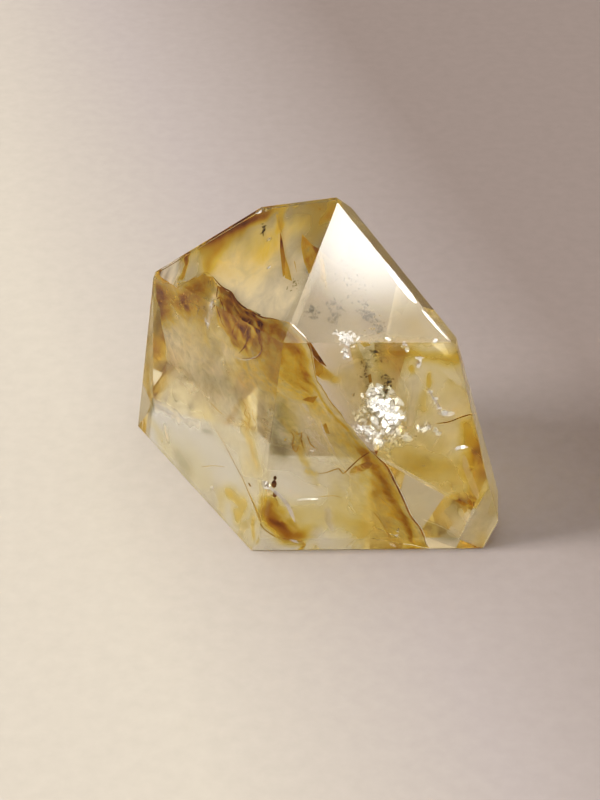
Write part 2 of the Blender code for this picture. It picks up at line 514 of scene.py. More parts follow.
class Flaws:
    """Faces inside the stone that are joined in one piece, and carry their stain and haze."""

    def __init__(self):
        self.data = bmesh.new()
        self.stain = self.data.verts.layers.float.new("stain")
        self.haze = self.data.verts.layers.float.new("haze")

    def vertex(self, point, stain, haze):
        vertex = self.data.verts.new(point)
        vertex[self.stain] = stain
        vertex[self.haze] = haze
        return vertex

    def strip(self, points, half_width, facing, stain, haze):
        """A flat ribbon along points, turned to its facing directions and thinner at its ends."""
        last = None
        for index, point in enumerate(points):
            before = points[max(index - 1, 0)]
            after = points[min(index + 1, len(points) - 1)]
            half = half_width * MM * taper(index, len(points))
            side = (after - before).cross(facing[index]).normalized() * half
            pair = [self.vertex(point - side, stain, haze), self.vertex(point + side, stain, haze)]
            if last:
                self.data.faces.new([last[0], last[1], pair[1], pair[0]])
            last = pair

    def face(self, corners):
        """A flat face whose corners are (pixel, depth in mm, stain, haze)."""
        self.data.faces.new([self.vertex(inside(pixel, depth * MM), stain, haze)
                             for pixel, depth, stain, haze in corners])

    def keep(self, name, material):
        bmesh.ops.triangulate(self.data, faces=self.data.faces[:])
        trim(self.data, SKIN / 2)
        keep(name, self.data, material, smooth=False)


def grid_piece(name, material, points, row, wanted, stain, haze, cuts=()):
    """A smooth piece made of the wanted cells of a square grid of points."""
    flaws = Flaws()
    verts = {index: flaws.vertex(points[index], stain[index], haze[index])
             for index in np.flatnonzero(wanted)}
    for index in verts:
        corners = (index, index + 1, index + row + 1, index + row)
        if index % row < row - 1 and all(corner in verts for corner in corners):
            flaws.data.faces.new([verts[corner] for corner in corners])
    trim(flaws.data, cuts=cuts)
    keep(name, flaws.data, material)


def spread(pixels, spacing=3.0):
    """Points at an even spacing along a smooth run through pixels."""
    run = [np.array(pixel, float) for pixel in pixels]
    run = [2 * run[0] - run[1]] + run + [2 * run[-1] - run[-2]]
    result = []
    for before, start, end, after in zip(run, run[1:], run[2:], run[3:]):
        steps = max(1, round(np.linalg.norm(end - start) / spacing))
        for step in range(steps):
            t = step / steps
            result.append(0.5 * (2 * start + (end - before) * t
                                 + (2 * before - 5 * start + 4 * end - after) * t ** 2
                                 + (3 * start - before - 3 * end + after) * t ** 3))
    return result + [run[-2]]


def crack_line(flaws, crack, pixels, half_width, stain, haze, lift=-0.1):
    """A thin line drawn on a crack's face."""
    places = [crack.seen(pixel) for pixel in spread(pixels)]
    points = crack.points(places, lift * MM)
    flaws.strip(points, half_width, [crack.normal] * len(points), stain, haze)


def surface_line(flaws, pixels, half_width, stain, haze, depth=0.15, shift=0.0):
    """A thin line a little under the surface, shifted to the right where asked."""
    entries = [enter(pixel) for pixel in spread(pixels)]
    facing = [normal for _, _, normal in entries]
    aside = Vector((shift, 0, 0)) * MM
    points = [point - normal * depth * MM + aside for point, _, normal in entries]
    flaws.strip(points, half_width, facing, stain, haze)


def inner_line(flaws, pixels, depth, half_width, haze, flash=None):
    """A thin, unstained line at a depth inside the stone, facing the camera's rays.

    Where flash gives the way to a light, it is turned to throw that light towards the camera."""
    run = spread(pixels)
    points = [inside(pixel, depth * MM) for pixel in run]
    facing = [enter(pixel)[1] for pixel in run]
    if flash:
        facing = [(flash - ray).normalized() for ray in facing]
    flaws.strip(points, half_width, facing, 0, haze)


def light_inside(light, facet_pixel):
    """The way to a light from inside the stone, through the facet that a pixel shows."""
    toward = direction(*light[:2])
    _, _, normal = enter(facet_pixel)
    cosine = toward.dot(normal)
    sideways = (toward - normal * cosine) / QUARTZ_IOR
    return sideways + normal * math.sqrt(1 - sideways.length_squared)


KEY_FLASH = light_inside(KEY, LEFT_FACET_PIXEL)
TOP_FLASH = light_inside(TOP_LIGHT, RIGHT_FACET_PIXEL)
ROOF_FLASH = light_inside(TOP_LIGHT, ROOF_FACET_PIXEL)
FRONT_FLASH = light_inside(TOP_LIGHT, FRONT_FACET_PIXEL)


def flakes(flaws, rng, pixels, scatter, depth, count, size, haze,
           stretch=1.0, flash=None, wobble=0.55, stain=0):
    """A loose cloud of thin flakes around a run of pixels, each turned its own way.

    Scatter is in pixels, depth and size are spans in mm. Where flash gives the way to a light,
    most flakes are turned to throw that light towards the camera."""
    run = spread(pixels)
    for _ in range(count):
        centre = rng.choice(run)
        pixel = (centre[0] + rng.gauss(0, scatter), centre[1] + rng.gauss(0, scatter))
        middle = inside(pixel, rng.uniform(*depth) * MM)
        axis = enter(pixel)[1]
        if flash:
            axis = (flash - axis).normalized()
        axis = (axis + Vector([rng.gauss(0, wobble) for _ in range(3)])).normalized()
        flake(flaws, rng, middle, axis, size, stain, haze, stretch)


def flake(flaws, rng, middle, axis, size, stain, haze, stretch):
    """One thin flake with four to seven uneven corners, square to its axis."""
    first = axis.orthogonal().normalized()
    first.rotate(Quaternion(axis, rng.uniform(0, 2 * math.pi)))
    second = axis.cross(first)
    radius = rng.uniform(*size) / 2 * MM
    sides = rng.randint(4, 7)
    verts = []
    for corner in range(sides):
        turn = 2 * math.pi * (corner + rng.uniform(-0.3, 0.3)) / sides
        reach = radius * rng.uniform(0.5, 1.0)
        point = middle + first * math.cos(turn) * reach * stretch + second * math.sin(turn) * reach
        verts.append(flaws.vertex(point, stain, haze))
    flaws.data.faces.new(verts)


# Where the main crack breaks the surface, as pixels of the image, from the upper left down.
MAIN_MOUTH = [(152, 277), (162, 283), (171, 284), (176, 288), (186, 282), (195, 277), (205, 272),
              (212, 276), (222, 287), (231, 292), (236, 300), (245, 308), (262, 317), (270, 318),
              (279, 320), (289, 323), (297, 330), (305, 338), (309, 342), (316, 378), (321, 386),
              (330, 401), (345, 420), (357, 435), (367, 447), (380, 460), (387, 467), (395, 483),
              (402, 497), (410, 515), (419, 527), (423, 535), (426, 544), (430, 549)]
# Where the small front crack breaks the surface.
FRONT_MOUTH = [(215, 430), (222, 440), (235, 465), (243, 480), (250, 497), (259, 519), (262, 527),
               (272, 535), (281, 539), (289, 540), (303, 549)]

# Soft strokes, each as pixels, half width in mm, stain and haze, over a crack's own stain and haze.
MAIN_BASE = (0.12, 0.5)
MAIN_STROKES = [
    # the brown shell under the highest part of the mouth
    ([(218, 285), (226, 294), (236, 303), (248, 311), (262, 319)], 0.9, 0.62, 0.2),
    ([(218, 292), (228, 304), (240, 314), (250, 322)], 2.4, 0.46, 0.1),
    ([(220, 312), (228, 328), (236, 343)], 1.6, 0.46, 0.1),
    ([(242, 326), (240, 340), (245, 350)], 1.4, 0.26, 0.3),
    ([(256, 328), (256, 344)], 1.2, 0.2, 0.3),
    ([(216, 288), (214, 306), (218, 324), (228, 334)], 0.6, 0.36, 0.2),
    ([(244, 318), (236, 328), (232, 342)], 0.5, 0.34, 0.2),
    ([(254, 318), (250, 334), (244, 347)], 0.5, 0.36, 0.2),
    ([(262, 322), (262, 344), (256, 355)], 0.5, 0.26, 0.2),
    ([(248, 312), (262, 320)], 0.8, 0.4, 0.2),
    # painted highlight: a golden streak across the shell, lighter because stain is taken away
    ([(222, 300), (232, 305), (240, 312)], 0.6, -0.2, 0.2),
    ([(225, 352), (240, 358)], 1.6, -0.06, 0.3),
    ([(226, 302), (246, 332)], 3.6, 0.2, -0.15),
    # the left shoulder
    ([(162, 298), (200, 296)], 5, 0.2, -0.1),
    ([(152, 288), (163, 292), (156, 312), (168, 314), (150, 318)], 2.4, 0.52, 0.1),
    ([(158, 335), (162, 350)], 3, 0.1, 0.1),
    ([(176, 298), (190, 290), (205, 284)], 3.2, 0.3, 0),
    ([(182, 294), (188, 306)], 1.6, 0.22, 0.3),
    ([(212, 292), (212, 306), (209, 322)], 0.8, -0.12, 0.4),
    ([(203, 320), (207, 345)], 1.4, 0.12, 0.1),
    # the golden shoulder under the mouth's long curve
    ([(266, 323), (280, 328), (292, 338), (301, 354), (308, 374)], 2.4, 0.36, 0.2),
    ([(272, 345), (285, 355), (295, 372), (304, 386)], 4, 0.32, 0.1),
    ([(296, 338), (304, 352), (309, 372)], 2.2, 0.14, 0.1),
    ([(246, 368), (262, 372), (280, 382)], 6, 0.17, 0.4),
    # pale, milky middle
    ([(170, 340), (190, 360), (215, 380)], 7, -0.03, 0.4),
    ([(235, 400), (220, 415)], 5, -0.03, 0.35),
    ([(252, 395), (252, 425)], 4, -0.02, 0.3),
    # along the lower mouth
    ([(316, 382), (330, 404), (345, 423), (357, 438), (367, 450)], 0.9, 0.24, 0.2),
    ([(320, 415), (350, 445)], 5, 0.1, 0.2),
    ([(366, 455), (378, 470), (388, 490), (398, 512), (408, 532), (418, 546)], 2.6, 0.38, 0.4),
    ([(372, 478), (382, 505), (392, 530)], 4, 0.18, 0.2),
    ([(352, 480), (362, 510)], 4, 0.05, 0.2),
    # the yellow squiggle's own cloud
    ([(244, 405), (250, 425), (252, 445), (254, 462)], 1.8, 0.14, 0.3),
]
FRONT_BASE = (0.03, 0.04)
FRONT_STROKES = [
    ([(264, 508), (270, 520), (282, 532), (298, 537)], 3, 0.42, 0.4),
    ([(266, 500), (276, 512)], 2, 0.22, 0.3),
]

# Clouds under single facets: a pixel on the facet, depth in mm, side of the main crack (0 for both),
# strokes. The first ones are golden or milky.
VEILS = {
    "left_roof_veil": ((230, 260), 1.2, 1, [
        ([(188, 250), (215, 235), (245, 220), (268, 211)], 1.7, 0.75, 0.4),
        ([(205, 246), (222, 237), (240, 228)], 2.6, 0.3, 0.2),
        ([(205, 262), (222, 246)], 2.6, 0.22, 0.15),
        ([(214, 250), (242, 246), (272, 246)], 4, 0.08, 0),
        ([(207, 268)], 2, 0.18, 0.1),
        ([(181, 279), (184, 268), (188, 255)], 0.6, 0.75, 0.6),
        ([(167, 272), (176, 262), (173, 279)], 1.5, 0, 0.7),
        ([(222, 282), (250, 290), (280, 306)], 7, 0.06, 0.75),
        ([(215, 262), (255, 262)], 6, 0.12, 0.55),
        ([(262, 225), (270, 250)], 4, 0.14, 0.45),
        ([(278, 205), (298, 204)], 1.2, 0.4, 0.5),
        ([(281, 214), (280, 230)], 1.2, 0.28, 0.4),
        ([(332, 199), (330, 212), (326, 220)], 2, 0.36, 0.4),
        ([(300, 222), (318, 222), (316, 234)], 3.5, 0.22, 0.15),
        ([(310, 204), (318, 210)], 1.2, 0.25, 0.2),
        ([(290, 235), (296, 270)], 4.5, 0.06, 0.45),
    ]),
    "front_roof_veil": ((360, 290), 1.5, 0, [
        ([(300, 314), (340, 328), (400, 330), (440, 334)], 6, 0.02, 0.17),
        ([(388, 300), (404, 318)], 3, 0.08, 0),
        ([(414, 324), (422, 330)], 1.6, 0.12, 0.1),
        ([(440, 338), (425, 340), (400, 339)], 1.2, 0.1, 0.2),
        ([(318, 262), (324, 286)], 0.9, 0.2, 0.3),
        ([(345, 230), (338, 255)], 1.2, 0.03, 0.2),
    ]),
    "front_right_veil": ((430, 400), 2.5, 1, [
        ([(318, 370), (327, 376), (336, 379)], 1.1, 0.26, 0.2),
        ([(384, 350), (410, 351), (440, 354), (456, 358)], 1.8, 0.26, 0.25),
        ([(385, 366), (400, 360)], 3, 0.13, 0.2),
        ([(335, 352), (345, 385), (356, 412)], 3, 0.06, 0.22),
        ([(430, 374), (428, 388)], 0.8, 0.22, 0.3),
        ([(407, 372), (412, 368)], 0.6, 0.26, 0.3),
        ([(424, 396), (427, 408)], 0.9, 0.12, 0.2),
        ([(409, 380), (414, 400), (412, 425)], 1.3, 0, 0.5),
        ([(420, 410), (440, 390), (455, 375)], 8, 0.05, 0.15),
    ]),
    "front_deep_veil": ((370, 390), 15, 1, [
        ([(352, 376), (360, 392), (372, 415)], 3.6, 0, 0.8),
        ([(380, 374), (392, 392), (398, 420)], 3.6, 0.02, 0.8),
    ]),
    "front_left_veil": ((300, 480), 1.6, -1, [
        ([(300, 512), (330, 518), (356, 528)], 3.6, 0.14, 0.35),
        ([(275, 458), (305, 468), (335, 480)], 4.5, 0.02, 0.45),
        ([(345, 500), (372, 528)], 4, 0.12, 0.2),
        ([(310, 474), (316, 478)], 0.6, 0.2, 0.3),
        ([(313, 532)], 1.6, -0.12, 0.5),
        ([(330, 512), (331, 526)], 0.9, -0.1, 0.4),
        ([(286, 410), (294, 426), (300, 446)], 1.6, 0.14, 0.2),
        ([(300, 450), (308, 465)], 0.8, 0.14, 0.2),
        ([(266, 502), (270, 516), (280, 528), (298, 534)], 2.6, 0.34, 0.4),
        ([(264, 508), (266, 518), (274, 528), (284, 535)], 1, 0.24, 0.2),
        ([(272, 504), (282, 516), (292, 530)], 2, 0.16, 0.2),
        ([(270, 508), (277, 516), (286, 521)], 0.6, -0.24, 0.2),
        ([(268, 522), (276, 527), (284, 529)], 0.5, 0.24, 0.1),
        ([(282, 525), (293, 530)], 0.6, -0.24, 0.2),
        ([(290, 516), (298, 527)], 0.8, -0.14, 0.2),
    ]),
    "left_front_veil_and_highlight": ((200, 450), 1.5, 0, [
        # the first three strokes are a painted highlight: a milky white streak and spot by the lower left
        # corner
        ([(154, 404), (164, 409), (176, 415)], 1.2, 0, 0.8),
        ([(176, 415), (190, 421), (200, 425)], 0.9, 0, 0.45),
        ([(166, 426), (168, 438)], 0.9, 0.02, 0.85),
        ([(165, 450), (205, 480)], 6, 0.08, 0.25),
        ([(175, 388), (200, 402), (225, 430), (245, 452)], 4, 0.06, 0.4),
        ([(230, 496), (243, 500), (236, 514)], 2, 0.26, 0.4),
        ([(243, 404), (247, 414), (246, 424)], 1.2, 0.12, 0.2),
        ([(243, 428), (250, 440), (254, 458)], 1.3, 0.14, 0.35),
        ([(254, 522), (254, 537)], 1, 0.3, 0.3),
        ([(222, 500), (222, 515)], 2, 0.14, 0.2),
        ([(246, 470), (262, 470), (258, 500)], 3, 0.08, 0.3),
        ([(150, 420), (160, 440)], 1.8, 0.08, 0.1),
    ]),
}
# Grey veils that only dim what is behind them. The one round the dark flecks under the front right facet
# is a smoky cloud; the others are wholly or partly painted shade.
DIMMING_AND_SHADE_VEILS = {
    # painted shade: grey sheets under the front left facet where the stone shows a dark grey-green image
    # of what lies behind it
    "front_left_painted_shade": ((300, 480), 0.4, -1, [
        ([(279, 404), (277, 425), (273, 448)], 2, 0, 0.36),
        ([(284, 446), (280, 456)], 1.5, 0, 0.34),
        ([(290, 415), (300, 436)], 3.2, 0, 0.16),
        ([(340, 440), (352, 450)], 3, 0, 0.12),
    ]),
    # its first stroke is painted shade, a dark triangle at the lower left corner; the others only dim
    # what is behind them
    "left_front_dimming_and_shade": ((200, 450), 0.8, 0, [
        ([(149, 410), (153, 402)], 0.7, 0, 0.45),
        ([(203, 378), (225, 388), (240, 398)], 1.8, 0, 0.22),
        ([(178, 458), (188, 470)], 2, 0, 0.22),
        ([(206, 433), (212, 434)], 0.8, 0, 0.3),
    ]),
    "front_right_smoke": ((430, 400), 1, 1, [
        ([(363, 352), (366, 372), (370, 388)], 0.9, 0, 0.26),
        ([(374, 348), (378, 360)], 0.9, 0, 0.26),
        ([(384, 376), (389, 386), (387, 392)], 0.9, 0, 0.3),
    ]),
    # painted shade: dims the light that comes out along the bottom strip
    "corner_painted_shade": ((440, 530), 0.8, 0, [
        ([(428, 527), (440, 533), (452, 538)], 1.2, 0, 0.4),
    ]),
}
# Golden and milky clouds that are cut off along an edge, given as two pixels before the strokes.
EDGED_VEILS = {
    "gold_veil": ((430, 400), 1.6, 1, ((388, 461), (473, 507)), [
        ([(392, 456), (410, 462), (430, 470)], 2.8, 0.14, 0.32),
        ([(425, 458), (450, 474), (470, 492)], 5, 0.15, 0.36),
        ([(470, 424), (478, 440), (484, 458)], 1.6, 0.36, 0.4),
        ([(478, 430), (482, 452)], 0.9, 0.2, 0.1),
        ([(490, 478), (494, 494)], 1.4, 0.34, 0.3),
        ([(464, 456), (467, 470), (474, 488), (478, 500)], 0.9, 0.04, -0.4),
        ([(472, 502), (475, 505)], 0.5, 0.5, 0.5),
    ]),
    "corner_veil": ((481, 520), 0.5, 0, ((479, 504), (459, 538)), [
        ([(470, 535), (484, 518), (490, 504)], 5, 0.03, 0.8),
    ]),
}

# Brown lines where the cracks and small fractures reach the surface or end just under it: pixels,
# half width in mm, stain, haze, and the depth in mm where they aren't at the surface.
BRANCH = [(379, 457), (372, 453), (361, 459), (352, 467), (343, 475), (339, 470), (326, 474), (318, 475)]
SURFACE_LINES = [
    (MAIN_MOUTH[1:8], 0.07, 0.8, 0.8),
    (MAIN_MOUTH[7:15], 0.16, 0.95, 0.9),
    (MAIN_MOUTH[14:19], 0.09, 0.55, 0.7),
    (MAIN_MOUTH[18:23], 0.08, 0.45, 0.6),
    (MAIN_MOUTH[24:], 0.15, 0.85, 0.9),
    (FRONT_MOUTH, 0.1, 0.7, 0.7),
    (BRANCH, 0.12, 0.8, 0.8, 0.9),
    ([(436, 424), (449, 422), (462, 417), (477, 413)], 0.14, 0.9, 0.9),
    ([(430, 361), (445, 361), (459, 365)], 0.07, 0.45, 0.6, 1.2),
    ([(209, 402), (215, 409), (222, 415)], 0.08, 0.5, 0.6, 0.8),
    ([(200, 467), (212, 466), (224, 467)], 0.06, 0.35, 0.5, 0.8),
    ([(318, 498), (334, 497), (342, 499)], 0.07, 0.6, 0.7, 0.8),
    ([(270, 495), (276, 500), (278, 509)], 0.08, 0.8, 0.8, 0.8),
    ([(247, 483), (250, 487)], 0.3, 0.8, 0.8, 0.8),
    ([(373, 512), (382, 524), (391, 540)], 0.07, 0.55, 0.6, 0.5),
]
# Yellow squiggles under the two front facets: their half width, stain, haze and depth, and pixels.
SQUIGGLE_LOOK = (0.1, 0.66, 0.8, 0.8)
SQUIGGLES = [
    [(241, 400), (245, 408), (243, 414), (248, 420)],
    [(246, 411), (249, 418), (247, 425), (251, 430)],
    [(251, 409), (252, 418), (255, 424), (253, 431)],
    [(241, 420), (246, 425), (244, 432)],
    [(291, 432), (294, 439), (292, 446), (296, 453), (299, 446)],
    [(293, 431), (298, 436), (302, 433), (301, 440), (304, 450)],
    [(307, 436), (311, 446), (317, 450)],
]
# Lines on the main crack's face: pixels, half width in mm, stain, haze, and how far in mm they are
# lifted off it where they don't follow the others.
CRACK_LINES = [
    ([(372, 463), (362, 467), (352, 472)], 0.9, 0.35, 0.4, -0.06),
    # conchoidal arcs of the brown shell
    ([(210, 277), (214, 286), (213, 300), (216, 313), (221, 326), (230, 334)], 0.2, 0.85, 0.8),
    ([(219, 299), (223, 303), (218, 309), (222, 313)], 0.14, 0.7, 0.8),
    ([(226, 298), (233, 304), (231, 311)], 0.12, 0.6, 0.8),
    ([(228, 331), (232, 340), (238, 347)], 0.2, 0.75, 0.8),
    ([(242, 318), (234, 327), (231, 339)], 0.22, 0.8, 0.8),
    ([(253, 318), (250, 332), (245, 346), (239, 353)], 0.2, 0.85, 0.8),
    ([(262, 321), (263, 337), (262, 350), (254, 357), (242, 358)], 0.16, 0.7, 0.8),
    ([(246, 312), (254, 317), (262, 319)], 0.5, 0.9, 0.8),
    ([(248, 326), (245, 334)], 0.14, 0.6, 0.8),
    ([(226, 331), (229, 334)], 0.4, 0.8, 0.8),
]

# Flat brown faces: each corner's pixel, depth in mm, stain and haze.
BLADES = [
    # dark wedge at the crack's upper step and its olive foot
    [((306, 341), 0.3, 0.95, 0.9), ((311, 343), 0.4, 1, 0.95), ((319, 355), 0.5, 1, 0.95),
     ((327, 367), 0.6, 0.85, 0.9), ((320, 363), 0.6, 0.9, 0.9), ((313, 355), 0.5, 0.85, 0.9)],
    [((313, 356), 0.9, 0.55, 0.5), ((320, 363), 0.9, 0.5, 0.5), ((328, 370), 0.9, 0.3, 0.2),
     ((334, 376), 0.9, 0.12, 0.1), ((329, 380), 0.9, 0.14, 0.1), ((323, 380), 0.9, 0.24, 0.2),
     ((316, 375), 0.9, 0.42, 0.4)],
    # blades under the roof facets
    [((276, 214), 0.8, 0.4, 0.7), ((279, 216), 0.8, 0.35, 0.6), ((282, 233), 0.8, 0.55, 0.8),
     ((279, 229), 0.8, 0.45, 0.7)],
    [((280, 231), 0.8, 0.7, 0.9), ((282, 238), 0.8, 0.75, 0.9), ((285, 256), 0.8, 0.7, 0.8),
     ((285, 275), 0.8, 0.5, 0.8), ((283, 277), 0.8, 0.5, 0.8), ((280, 250), 0.8, 0.65, 0.8)],
    [((285, 256), 0.8, 0.4, 0.7), ((289, 268), 0.8, 0.36, 0.6), ((292, 281), 0.8, 0.34, 0.6),
     ((285, 278), 0.8, 0.45, 0.8)],
    [((302, 234), 0.9, 0.45, 0.7), ((312, 245), 0.9, 0.5, 0.8), ((319, 249), 0.9, 0.75, 0.9),
     ((314, 262), 0.9, 0.5, 0.8), ((309, 274), 0.9, 0.42, 0.7), ((304, 262), 0.9, 0.4, 0.6),
     ((301, 246), 0.9, 0.36, 0.6)],
    [((311, 245), 0.8, 0.8, 0.9), ((319, 249), 0.8, 0.9, 0.9), ((316, 254), 0.8, 0.8, 0.8)],
    [((294, 261), 0.9, 0.55, 0.7), ((295, 262), 0.9, 0.5, 0.7), ((297, 274), 0.9, 0.5, 0.7)],
    [((320, 250), 0.8, 0.2, 0.4), ((324, 262), 0.8, 0.26, 0.5), ((327, 287), 0.8, 0.24, 0.5),
     ((321, 276), 0.8, 0.16, 0.3)],
    # olive lens at the left shoulder
    [((153, 271), 0.5, 0.45, 0.8), ((158, 271), 0.6, 0.5, 0.9), ((161, 277), 0.7, 0.55, 0.9),
     ((170, 283), 0.5, 0.5, 0.8), ((160, 284), 0.5, 0.3, 0.7)],
    # brown lens and the two drops seen through the front facet
    [((302, 400), 1, 0.6, 0.8), ((308, 397), 1, 0.55, 0.8), ((318, 396), 1, 0.4, 0.6),
     ((313, 403), 1, 0.6, 0.9)],
    [((323, 425), 1, 0.36, 0.5), ((326, 423), 1, 0.45, 0.6), ((330, 434), 1, 0.5, 0.7),
     ((326, 433), 1, 0.4, 0.6)],
    [((368, 375), 1.5, 0.4, 0.5), ((371, 374), 1.5, 0.4, 0.6), ((372, 382), 1.5, 0.36, 0.5),
     ((369, 383), 1.5, 0.36, 0.5)],
    [((360, 341), 1, 0.34, 0.8), ((368, 343), 1, 0.38, 0.9), ((371, 345), 1, 0.34, 0.8),
     ((364, 347), 1, 0.36, 0.9)],
]
# Brown drops: the middle and the half sizes in pixels, the angles of their corners, and their
# depth in mm, stain and haze.
DROPS = [(275, 478, 1.8, 2.2), (274, 484, 2.8, 4), (275, 494, 2.2, 3.4)]
DROP_TURNS = (0, 0.8, 1.6, 2.4, 3.2, 4, 4.8, 5.6)
DROP_LOOK = (1.2, 0.85, 0.95)

# Clouds of flakes: pixels, scatter, depths, count, sizes, haze, stretch and, where they shine, the
# light that they throw and how far they are turned off it.
DARK_FLAKES = [
    ([(309, 310), (317, 317)], 3, (0.5, 1.3), 46, (0.2, 0.8), 0.85, 1.5),
    ([(364, 308), (369, 318)], 3, (0.5, 1.3), 80, (0.2, 0.7), 0.9, 1.5),
    ([(376, 322), (379, 330)], 3, (0.5, 1.3), 36, (0.2, 0.6), 0.9, 1.5),
    ([(332, 300), (336, 325)], 4, (0.5, 1.3), 60, (0.2, 0.8), 0.6, 2),
    ([(340, 265), (352, 282), (362, 300)], 7, (0.5, 1.3), 90, (0.2, 0.6), 0.7, 1.4),
    ([(364, 352), (366, 372), (370, 388)], 3, (1.2, 3), 36, (0.2, 0.7), 0.4, 1.8),
    ([(374, 347), (377, 358)], 3, (1.2, 3), 26, (0.2, 0.8), 0.45, 1.8),
    ([(386, 378), (388, 386), (384, 395)], 3, (1.2, 3), 34, (0.2, 0.9), 0.5, 1.8),
    ([(372, 404), (380, 412), (392, 424)], 6, (2, 3), 24, (0.12, 0.4), 0.5, 1.8),
    ([(298, 283), (292, 288)], 2, (0.8, 1), 12, (0.3, 0.8), 0.5, 1.5),
    ([(262, 224), (263, 231)], 1, (0.8, 1), 6, (0.5, 1.2), 0.6, 2),
]
# The same, with the stain first.
IRON_SPECKS = [
    (0.6, [(178, 294), (190, 304)], 5, (1.5, 3), 46, (0.2, 0.7), 0.8, 1.5),
    (0.75, [(248, 362), (270, 375), (290, 372)], 9, (1.5, 4), 34, (0.12, 0.35), 0.9),
    (0.35, [(375, 320), (378, 335)], 6, (0.5, 1.3), 14, (0.2, 0.5), 0.8),
    (0.34, [(292, 440), (300, 450)], 5, (3, 5), 18, (0.3, 0.9), 0.8, 1.8),
]
SILVER_FLAKES = [
    ([(374, 396), (384, 406), (394, 420)], 6, (3, 9), 340, (0.5, 1.8), 1, 1.8, TOP_FLASH, 0.04),
    ([(376, 400), (384, 408), (392, 420)], 5, (2, 3), 90, (0.6, 1.6), 0.9, 1.8, TOP_FLASH, 0.015),
    ([(362, 430), (372, 434), (382, 444)], 3, (2, 3), 24, (0.4, 1.2), 0.9, 1.8, TOP_FLASH, 0.02),
    ([(376, 400), (384, 410), (392, 424)], 5, (9, 14), 60, (0.6, 1.6), 1, 1.8, KEY_FLASH, 0.08),
    ([(366, 405), (386, 428), (398, 440)], 8, (3, 9), 260, (0.3, 1.1), 1, 1.6, TOP_FLASH, 0.08),
    ([(356, 428), (370, 434), (382, 446)], 4, (2, 6), 90, (0.3, 1), 0.8, 2, TOP_FLASH, 0.1),
    ([(366, 345), (374, 365), (380, 385)], 6, (6, 10), 40, (0.3, 1), 0.6, 2),
    ([(429, 391), (434, 400), (440, 410)], 0.8, (2, 3), 14, (0.4, 1), 1, 2, TOP_FLASH, 0.08),
    ([(442, 413), (450, 414)], 2, (2, 3), 14, (0.5, 1.3), 0.8, 1.5, TOP_FLASH, 0.08),
    ([(421, 429), (428, 426)], 1.8, (2, 3), 22, (0.5, 1.3), 1, 2, TOP_FLASH, 0.06),
    ([(405, 438), (410, 440)], 1.5, (2, 3), 16, (0.5, 1.2), 1, 2, TOP_FLASH, 0.06),
    ([(422, 461), (430, 457)], 2.5, (2, 3), 26, (0.6, 1.4), 0.9, 2, TOP_FLASH, 0.06),
    ([(436, 430), (438, 434)], 1, (2, 3), 8, (0.4, 1), 1, 2, TOP_FLASH, 0.06),
    ([(455, 449), (466, 447)], 0.6, (1, 1.4), 6, (0.4, 1), 1, 2, TOP_FLASH, 0.06),
    ([(405, 346), (407, 350)], 1.2, (1, 2), 12, (0.5, 1.1), 1, 1.5, TOP_FLASH, 0.06),
    ([(420, 358), (417, 366)], 1, (1, 2), 12, (0.5, 1.1), 0.8, 2, TOP_FLASH, 0.08),
    ([(388, 339), (389, 340)], 0.8, (0.8, 1.2), 8, (0.4, 0.9), 1, 1.2, ROOF_FLASH, 0.06),
    ([(435, 340), (436, 341)], 0.8, (0.8, 1.2), 8, (0.4, 0.9), 1, 1.2, ROOF_FLASH, 0.06),
    ([(340, 336), (350, 338)], 4, (0.8, 1.4), 50, (0.3, 1), 0.8, 2, ROOF_FLASH, 0.1),
    ([(344, 350), (346, 358)], 1.2, (1, 2), 16, (0.3, 0.9), 0.9, 2, TOP_FLASH, 0.08),
    ([(259, 212), (266, 211)], 1, (1, 2), 10, (0.5, 1.2), 1, 2),
    ([(268, 239), (269, 240)], 0.8, (0.8, 1), 8, (0.4, 1.1), 1, 2),
    ([(268, 267), (269, 268)], 0.8, (0.8, 1), 8, (0.4, 1.1), 1, 2),
    ([(213, 302), (211, 312)], 1, (0.6, 1), 8, (0.5, 1.2), 0.9, 2),
    ([(206, 322), (209, 328)], 0.8, (0.6, 1), 8, (0.5, 1.2), 1, 2),
    ([(212, 487), (213, 492)], 0.8, (1, 2), 5, (0.6, 1.2), 1, 2),
    ([(266, 485), (269, 489)], 1.2, (5, 6), 10, (0.6, 1.4), 1, 1.6),
    ([(398, 529), (396, 534)], 0.6, (0.6, 1), 5, (0.4, 0.9), 1, 2),
    ([(265, 483), (268, 488)], 1, (0.8, 1.2), 16, (0.6, 1.4), 0.9, 1.6, FRONT_FLASH, 0.06),
]
